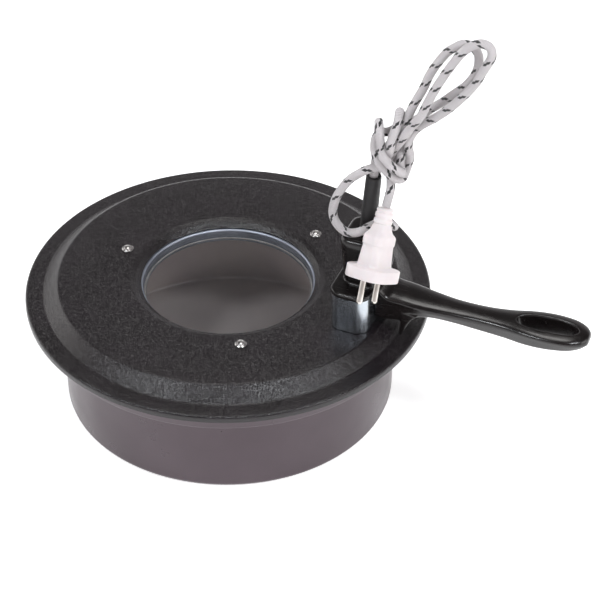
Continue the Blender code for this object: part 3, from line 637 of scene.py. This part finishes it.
def make_lid_screws(material):
    for number, angle in enumerate(SCREW_ANGLES, start=1):
        screw = lathe(f"lid_cup_screw_{number}", fillet(SCREW_OUTER, 4), material, 40)
        slot = loft("slot", [[(x, y, z) for x, y in rounded_rectangle((0, 0), SCREW_SLOT_HALF, 0.2, 2)]
                             for z in SCREW_SLOT_Z])
        slot.rotation_euler.z = math.radians(angle * 2 + 25)
        boolean(screw, slot, "DIFFERENCE")
        applied(screw)
        scrap(slot)
        screw.data.shade_smooth()
        screw.data.set_sharp_from_angle(angle=math.radians(35))
        screw.data.transform(Matrix.Translation((SCREW_CIRCLE_R * MM * math.cos(math.radians(angle)),
                                                 SCREW_CIRCLE_R * MM * math.sin(math.radians(angle)), 0)))
        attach(screw, "lid")
        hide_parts(f"lid_screw_{number}")


# Handle --------------------------------------------------------------------------------------

SLEEVE_X = 112.5
SLEEVE_HALF = (15.2, 32.0)
SLEEVE_CORNER = 10.0
SLEEVE_SHEET = 1.2
BASE_LOW_Z = 136.0
BASE_TOP_Z = 140.5
BASE_OVERHANG = 1.2
# Height and inset round the base flange's edge, and round the sleeve's outer face
BASE_EDGE = ((BASE_LOW_Z, 0.5), (BASE_LOW_Z + 0.5, 0), (BASE_TOP_Z - 1.2, 0), (BASE_TOP_Z - 0.35, 0.4),
             (BASE_TOP_Z, 1.3))
SLEEVE_EDGE = ((105.5, 0.4), (105.3, 0.15), (105.5, 0.0), (107.0, 0.0), (121.0, 0.0), (134.5, 0.0),
               (135.7, 0.0), (135.7, SLEEVE_SHEET))
SLEEVE_INNER_Z = (134.5, 107.0, 105.3)
SLEEVE_ROOM_GAP = 0.4

# Tower sections: height, nearest and furthest x, half width, corner
TOWER = ((137.0, 102.5, 133.0, 17.5, 8.0), (148.0, 101.3, 131.4, 17.8, 8.0), (160.0, 100.2, 130.0, 18.1, 8.0),
         (174.5, 98.7, 126.2, 18.5, 8.0), (177.0, 98.9, 125.6, 18.2, 7.9), (178.6, 99.5, 124.7, 17.5, 7.6),
         (179.6, 100.6, 123.4, 16.4, 7.0), (180.0, 102.0, 122.0, 14.9, 6.2))

# Grip sections: x, crown height, ridge half width, underside height, underside half width
GRIP = ((125.4, 144.0, 15.2, 110.0, 13.4), (131.0, 140.2, 15.2, 110.0, 13.2),
        (138.0, 134.6, 15.0, 110.0, 13.0), (150.0, 133.5, 14.6, 112.5, 12.5),
        (160.0, 132.4, 14.0, 116.5, 11.0), (172.0, 131.5, 12.6, 118.5, 9.0),
        (190.0, 131.0, 10.7, 117.5, 7.2), (212.0, 131.6, 10.5, 116.5, 7.2),
        (230.0, 132.8, 12.4, 116.8, 8.8), (246.0, 134.2, 15.8, 118.0, 12.2),
        (262.0, 135.0, 17.5, 120.0, 14.0), (278.0, 135.2, 16.2, 122.0, 12.8),
        (287.0, 134.8, 12.4, 123.8, 9.4), (291.5, 134.0, 7.8, 125.6, 5.6),
        (293.0, 132.6, 4.4, 127.4, 2.8))
HOLE_X = (236.0, 284.0)
HOLE_HALF_WIDTH = 8.5
FIN = ((163.0, 121.0), (158.0, 116.5), (154.6, 111.0), (152.2, 104.5), (150.6, 100.0), (147.8, 100.0),
       (148.2, 104.5), (148.8, 112.0), (149.0, 121.0))
FIN_HALF_WIDTH = 13.5
HANDLE_VOXEL_M = 0.0007
HANDLE_SOFTENINGS = 10
# The hanging hole narrows downwards: height, and how far its outline is drawn in
HOLE_RINGS = ((105.0, 5.0), (119.0, 3.4), (133.6, 0.0), (136.6, -1.2))
HOLE_POINTS = 64


def smooth_rows(rows, per_span):
    """Rows of numbers, filled in along Catmull-Rom curves."""
    table = np.array(rows, float)
    table = np.vstack([2 * table[0] - table[1], table, 2 * table[-1] - table[-2]])
    filled = []
    for a, b, c, d in zip(table, table[1:], table[2:], table[3:]):
        for step in range(per_span):
            t = step / per_span
            filled.append(0.5 * (2 * b + (c - a) * t + (2 * a - 5 * b + 4 * c - d) * t ** 2
                                 + (3 * b - a - 3 * c + d) * t ** 3))
    filled.append(table[-2])
    return filled


def tower_ring(z, near, far, half, corner):
    return [(x, y, z) for x, y in rounded_rectangle(((near + far) / 2, 0), ((far - near) / 2, half), corner)]


def grip_ring(x, top, ridge_half, low, low_half):
    """Crowned top, ridge at the widest place, sides drawn in below."""
    right = [(0.30 * ridge_half, top - 0.15), (0.55 * ridge_half, top - 0.6), (0.78 * ridge_half, top - 1.3),
             (0.93 * ridge_half, top - 2.3), (ridge_half, top - 3.6), (0.95 * ridge_half, top - 5.8),
             (0.5 * (0.95 * ridge_half + low_half), 0.5 * (top - 5.8 + low + 1.6)),
             (low_half, low + 1.6), (low_half - 2.0, low)]
    left = [(-y, z) for y, z in reversed(right)]
    return [(x, y, z) for y, z in [(0.0, top)] + right + left]


def handle_pieces():
    """The solids that the handle is joined from."""
    base = []
    for z, inset in BASE_EDGE:
        half = (SLEEVE_HALF[0] + BASE_OVERHANG - inset, SLEEVE_HALF[1] + BASE_OVERHANG - inset)
        corner = SLEEVE_CORNER + BASE_OVERHANG - inset
        base.append([(x, y, z) for x, y in rounded_rectangle((SLEEVE_X, 0), half, corner)])
    tower = [tower_ring(*row) for row in TOWER]
    grip = [grip_ring(*row) for row in smooth_rows(GRIP, 5)]
    fin = [[(x, y, z) for x, z in FIN] for y in (-FIN_HALF_WIDTH, FIN_HALF_WIDTH)]
    return [loft(name, rings) for name, rings in (("handle_moulding", base), ("tower", tower), ("grip", grip),
                                                  ("fin", fin))]


def handle_hollows():
    """What is cut out: the room for wires, the root's underside, the hanging hole and the sleeve."""
    def prism(name, centre, half, corner, low, high):
        return loft(name, [[(x, y, z) for x, y in rounded_rectangle(centre, half, corner)]
                           for z in (low, (low + high) / 2, high)])

    def oval(z, half_length, half_width):
        """A hole outline between an ellipse and a rounded slot."""
        points = []
        for k in range(HOLE_POINTS):
            c = math.cos(2 * math.pi * k / HOLE_POINTS)
            w = math.sin(2 * math.pi * k / HOLE_POINTS)
            points.append((sum(HOLE_X) / 2 + half_length * math.copysign(abs(c) ** 0.85, c),
                           half_width * math.copysign(abs(w) ** 0.95, w), z))
        return points

    half_length = (HOLE_X[1] - HOLE_X[0]) / 2
    hole = loft("hanging_hole", [oval(z, half_length - inset, HOLE_HALF_WIDTH - inset)
                                 for z, inset in HOLE_RINGS])
    sleeve_half = (SLEEVE_HALF[0] + SLEEVE_ROOM_GAP, SLEEVE_HALF[1] + SLEEVE_ROOM_GAP)
    return [prism("wire_room", (114.25, 0), (8.75, 9.5), 4.0, 106.0, 166.0),
            prism("root_hollow", (139.0, 0), (7.5, 11.0), 2.0, 90.0, 126.0),
            prism("sleeve_room", (SLEEVE_X, 0), sleeve_half, SLEEVE_CORNER + SLEEVE_ROOM_GAP,
                  90.0, BASE_LOW_Z),
            hole]


def make_handle(material):
    """Join, hollow and remesh the handle, so that its joins and edges are softly rounded."""
    handle, *others = handle_pieces()
    hollows = handle_hollows()
    for other in others:
        boolean(handle, other, "UNION")
    for hollow in hollows:
        boolean(handle, hollow, "DIFFERENCE")
    remesh = handle.modifiers.new("remesh", "REMESH")
    remesh.mode = "VOXEL"
    remesh.voxel_size = HANDLE_VOXEL_M
    soften = handle.modifiers.new("soften", "SMOOTH")
    soften.factor = 0.5
    soften.iterations = HANDLE_SOFTENINGS
    applied(handle)
    scrap(*others, *hollows)
    handle.data.shade_smooth()
    handle.data.materials.clear()
    handle.data.materials.append(material)
    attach(handle, "lid")
    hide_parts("handle")


def make_sleeve(material):
    """The oblong tube between lid and handle, rolled in at its foot."""
    rings = []
    inner_half = (SLEEVE_HALF[0] - SLEEVE_SHEET, SLEEVE_HALF[1] - SLEEVE_SHEET)
    for z, inset in SLEEVE_EDGE:
        half = (SLEEVE_HALF[0] - inset, SLEEVE_HALF[1] - inset)
        corner = SLEEVE_CORNER - inset
        rings.append([(x, y, z) for x, y in rounded_rectangle((SLEEVE_X, 0), half, corner, 12)])
    for z in SLEEVE_INNER_Z:
        rings.append([(x, y, z) for x, y in rounded_rectangle((SLEEVE_X, 0), inner_half,
                                                              SLEEVE_CORNER - SLEEVE_SHEET, 12)])
    sleeve = loft("sleeve_tube", rings, material, caps=False, smooth_angle=35)
    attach(sleeve, "lid")
    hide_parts("heat_sleeve")


ROOT_SCREW_PLACE = (134.6, 0.0, 138.6)
ROOT_SCREW_TILT = math.radians(38.0)
ROOT_SCREW_OUTER = ((0, 2.4, 0), (1.6, 2.2, 0.4), (2.9, 1.3, 0.5), (3.1, 0.3, 0.1), (1.5, 0.3, 0.1),
                    (1.5, -8.0, 0), (0, -8.0, 0))


def make_root_screw(material):
    profile = fillet(ROOT_SCREW_OUTER, 4)
    screw = lathe("root_screw_head", profile, material, 40)
    turn = Matrix.Translation(Vector(ROOT_SCREW_PLACE) * MM) @ Matrix.Rotation(ROOT_SCREW_TILT, 4, "Y")
    screw.data.transform(turn)
    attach(screw, "lid")
    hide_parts("root_screw")


RELIEF_FOOT = (115.4, 0.0, 176.0)
RELIEF_LEAN = math.radians(4.2)
RELIEF_LENGTH = 55.85


def make_relief(material):
    """Rubber sleeve around the cord, drawn in slowly towards its top, with a rolled lip."""
    profile = fillet(((3.9, -10.0, 0), (6.3, -10.0, 0.2), (6.3, 4.0, 0), (6.25, 8.0, 0.5), (6.1, 30.0, 4),
                      (5.85, RELIEF_LENGTH - 3.0, 0.5), (5.75, RELIEF_LENGTH, 0.9), (3.9, RELIEF_LENGTH, 0.3),
                      (3.9, RELIEF_LENGTH - 20, 0)), 5)
    relief = lathe("cord_relief", profile, material, 64, closed=True, smooth_angle=50)
    relief.data.transform(Matrix.Translation(Vector(RELIEF_FOOT) * MM) @ Matrix.Rotation(RELIEF_LEAN, 4, "Y"))
    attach(relief, "lid")
    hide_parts("strain_relief")
    return relief


# Plug ----------------------------------------------------------------------------------------

PLUG_TIP = (133.7, -48.1, 150.6)
PLUG_LEAN = math.radians(29.8)
PLUG_TURN = math.radians(71.6)
PIN_R = 2.35
PIN_SPACING = 19.0
PIN_OUTER = ((0, 0, 0), (1.5, 0.0, 0.7), (PIN_R, 1.5, 1.0), (PIN_R, 9.0, 0), (PIN_R, 12.0, 0),
             (PIN_R, 18.7, 0), (0, 18.7, 0))

# Plug body sections: distance from the pin tips, half sizes, corner
PLUG_SECTIONS = ((19.0, 17.6, 17.0, 12.2), (19.2, 18.0, 17.4, 12.4), (19.6, 18.2, 17.6, 12.6),
                 (27.4, 18.2, 17.6, 12.6), (27.9, 18.0, 17.4, 12.5), (28.1, 17.6, 17.0, 12.2),
                 (28.4, 13.4, 10.6, 7.0), (29.2, 12.6, 9.7, 6.2), (31.0, 12.4, 9.4, 6.0),
                 (38.0, 11.9, 9.0, 6.0), (44.6, 11.4, 8.6, 6.0), (45.2, 12.0, 9.0, 6.2),
                 (46.2, 12.2, 9.2, 6.4), (51.0, 12.2, 9.2, 6.4), (52.4, 11.4, 8.8, 6.4),
                 (54.2, 9.0, 8.0, 6.4), (56.5, 7.7, 7.4, 6.3), (59.6, 6.9, 6.8, 6.2),
                 (60.4, 6.2, 6.2, 5.9), (61.0, 6.2, 6.2, 5.9), (61.6, 6.9, 6.7, 6.1),
                 (64.4, 6.8, 6.6, 6.1), (65.0, 6.1, 6.1, 5.8), (65.6, 6.1, 6.1, 5.8),
                 (66.2, 6.7, 6.5, 6.0), (69.2, 6.6, 6.4, 5.9), (69.8, 5.9, 5.9, 5.6),
                 (70.4, 5.9, 5.9, 5.6), (71.0, 6.3, 6.2, 5.8), (72.4, 6.0, 6.0, 5.7), (73.0, 5.0, 5.0, 4.8))


def plug_matrix():
    """From the plug's own frame, pin tips at its origin, to its place."""
    return (Matrix.Translation(Vector(PLUG_TIP) * MM) @ Matrix.Rotation(-PLUG_LEAN, 4, "X")
            @ Matrix.Rotation(PLUG_TURN, 4, "Z"))


def make_plug(plastic_finish, nickel_finish):
    body = loft("plug_moulding", [[(x, y, s) for x, y in rounded_rectangle((0, 0), half, corner, 10)]
                                  for s, *half, corner in PLUG_SECTIONS], plastic_finish, smooth_angle=50)
    body.data.transform(plug_matrix())
    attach(body, "lid")
    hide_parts("plug_body")
    profile = fillet(PIN_OUTER, 5)
    pins = []
    for number, side in enumerate((-1, 1), start=1):
        pin = lathe(f"plug_contact_{number}", profile, nickel_finish, 40)
        pin.data.transform(plug_matrix() @ Matrix.Translation((side * PIN_SPACING / 2 * MM, 0, 0)))
        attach(pin, "lid")
        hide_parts(f"plug_pin_{number}")
        pins.append(pin)
    return [body] + pins


# Light and floor -----------------------------------------------------------------------------

# Softboxes: place in metres, size, power in watts, colour
SOFTBOXES = (
    ("overhead", (-0.2, 0.6, 2.3), (0.8, 0.8), 12.0, (1.0, 0.99, 0.97)),
    ("front_left", (-0.60, -1.03, 1.74), (0.42, 0.42), 15.0, (0.94, 0.97, 1.0)),
    ("front_right", (1.00, -0.46, 1.74), (0.42, 0.42), 15.0, (0.94, 0.97, 1.0)),
    ("right", (2.0, 0.1, 0.9), (1.0, 1.2), 10.0, (1.0, 0.98, 0.96)),
    ("left", (-2.0, 0.2, 0.9), (1.0, 1.2), 7.0, (1.0, 0.98, 0.96)),
)
AIM_M = Vector((0.05, 0.0, 0.1))
# The pale backdrop falls off upwards: height of the direction from and to, brightness there
BACKDROP_FADE = (0.05, 0.62, 0.95, 0.12)
BACKDROP_COLOUR = (1.0, 0.97, 0.985, 1.0)
FLOOR_HALF_SIZE = 4000.0
FLOOR_GLOW = 0.62
FLOOR_DROP_M = 0.0002


def make_studio():
    for name, place, size, power, colour in SOFTBOXES:
        data = bpy.data.lights.new(name, "AREA")
        data.shape = "RECTANGLE"
        data.size, data.size_y = size
        data.energy = power
        data.color = colour
        lamp = bpy.data.objects.new(name, data)
        lamp.location = place
        lamp.rotation_euler = (AIM_M - Vector(place)).to_track_quat("-Z", "Y").to_euler()
        bpy.context.scene.collection.objects.link(lamp)
    world = bpy.data.worlds.new("studio")
    world.use_nodes = True
    tree = world.node_tree
    background = next(n for n in tree.nodes if n.type == "BACKGROUND")
    background.inputs["Color"].default_value = BACKDROP_COLOUR
    split = tree.nodes.new("ShaderNodeSeparateXYZ")
    fade = tree.nodes.new("ShaderNodeMapRange")
    fade.interpolation_type = "SMOOTHSTEP"
    for key, value in zip(("From Min", "From Max", "To Min", "To Max"), BACKDROP_FADE):
        fade.inputs[key].default_value = value
    tree.links.new(tree.nodes.new("ShaderNodeTexCoord").outputs["Generated"], split.inputs[0])
    tree.links.new(split.outputs["Z"], fade.inputs["Value"])
    tree.links.new(fade.outputs[0], background.inputs["Strength"])
    bpy.context.scene.world = world


def make_floor():
    bm = bmesh.new()
    bmesh.ops.create_grid(bm, x_segments=8, y_segments=8, size=FLOOR_HALF_SIZE)
    finish = Finish("floor", (0.93, 0.93, 0.93), 0.9, Emission_Color=(1.0, 1.0, 1.0, 1.0),
                    Emission_Strength=FLOOR_GLOW)
    grain = finish.noise(30.0, 3.0)
    finish.set("Base Color", finish.mix(grain, (0.925, 0.925, 0.925), (0.94, 0.94, 0.94)))
    floor = link("floor", bm, finish.material)
    floor.location.z = -FLOOR_DROP_M


# Finishes of the CAD pieces that stay --------------------------------------------------------

def steel_finish():
    return varied("steel", (0.62, 0.61, 0.60), (0.45, 0.43, 0.42), 160.0, 0.24, metallic=1.0,
                  bump_scale=2200.0, bump_depth=0.00002).material


def nickel_finish():
    return varied("nickel", (0.78, 0.75, 0.71), (0.60, 0.55, 0.50), 180.0, 0.17, metallic=1.0,
                  bump_scale=2600.0, bump_depth=0.00001, stretch=(1.0, 1.0, 0.3)).material


def aluminium_finish():
    return varied("aluminium", (0.74, 0.75, 0.76), (0.58, 0.58, 0.59), 30.0, 0.30, metallic=1.0,
                  bump_scale=900.0, bump_depth=0.00003).material


def keep_cad_nodes(finishes):
    """Give each CAD node that still shows the finish of its kind."""
    kinds = (("insulation", "wool"), ("heating", "heater"), ("element_support", "ceramic"),
             ("terminal_block", "ceramic"), ("terminal_screw", "nickel"), ("lid_nut", "steel"),
             ("lid_spacer", "steel"), ("handle_bolt", "steel"), ("mains_lead", "wire"),
             ("heater_lead", "wire"))
    for name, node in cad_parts.items():
        if node.hide_render:
            continue
        finish = next(finishes[key] for start, key in kinds if name.startswith(start))
        node.data.materials.clear()
        node.data.materials.append(finish)


def make_finishes():
    return {
        "lid_enamel": lid_enamel(),
        "pan_enamel": pan_enamel(),
        "bakelite": bakelite(),
        "zinc": zinc(),
        "glass": window_glass(),
        "plug_plastic": plug_plastic(),
        "steel": steel_finish(),
        "nickel": nickel_finish(),
        "aluminium": aluminium_finish(),
        "seal": varied("seal", (0.24, 0.23, 0.22), (0.32, 0.31, 0.30), 200.0, 0.75).material,
        "wool": varied("wool", (0.70, 0.66, 0.55), (0.52, 0.48, 0.38), 260.0, 0.95,
                       bump_depth=0.0006).material,
        "heater": varied("heater", (0.10, 0.09, 0.085), (0.16, 0.13, 0.11), 120.0, 0.5,
                         metallic=0.8).material,
        "ceramic": varied("ceramic", (0.82, 0.80, 0.74), (0.74, 0.71, 0.64), 140.0, 0.5,
                          bump_depth=0.00008).material,
        "rubber": varied("rubber", (0.007, 0.006, 0.007), (0.012, 0.011, 0.012), 120.0, 0.50,
                         bump_scale=1500.0, bump_depth=0.00006).material,
        "wire": varied("wire", (0.55, 0.40, 0.25), (0.42, 0.30, 0.18), 400.0, 0.6,
                       bump_scale=1800.0, bump_depth=0.0001).material,
    }


def main():
    make_camera()
    cord, route, length = make_cord(braid())
    finishes = make_finishes()
    plug = make_plug(finishes["plug_plastic"], finishes["nickel"])
    relief = make_relief(finishes["rubber"])
    make_lid(finishes["lid_enamel"])
    make_pan(finishes["pan_enamel"], pan_inside())
    make_window(collar_finish(), finishes["glass"], finishes["seal"])
    make_reflector(finishes["aluminium"])
    make_lid_screws(finishes["steel"])
    make_sleeve(finishes["zinc"])
    make_handle(finishes["bakelite"])
    make_root_screw(finishes["nickel"])
    keep_cad_nodes(finishes)
    make_floor()
    make_studio()
    bpy.context.scene.view_settings.view_transform = "Standard"


main()
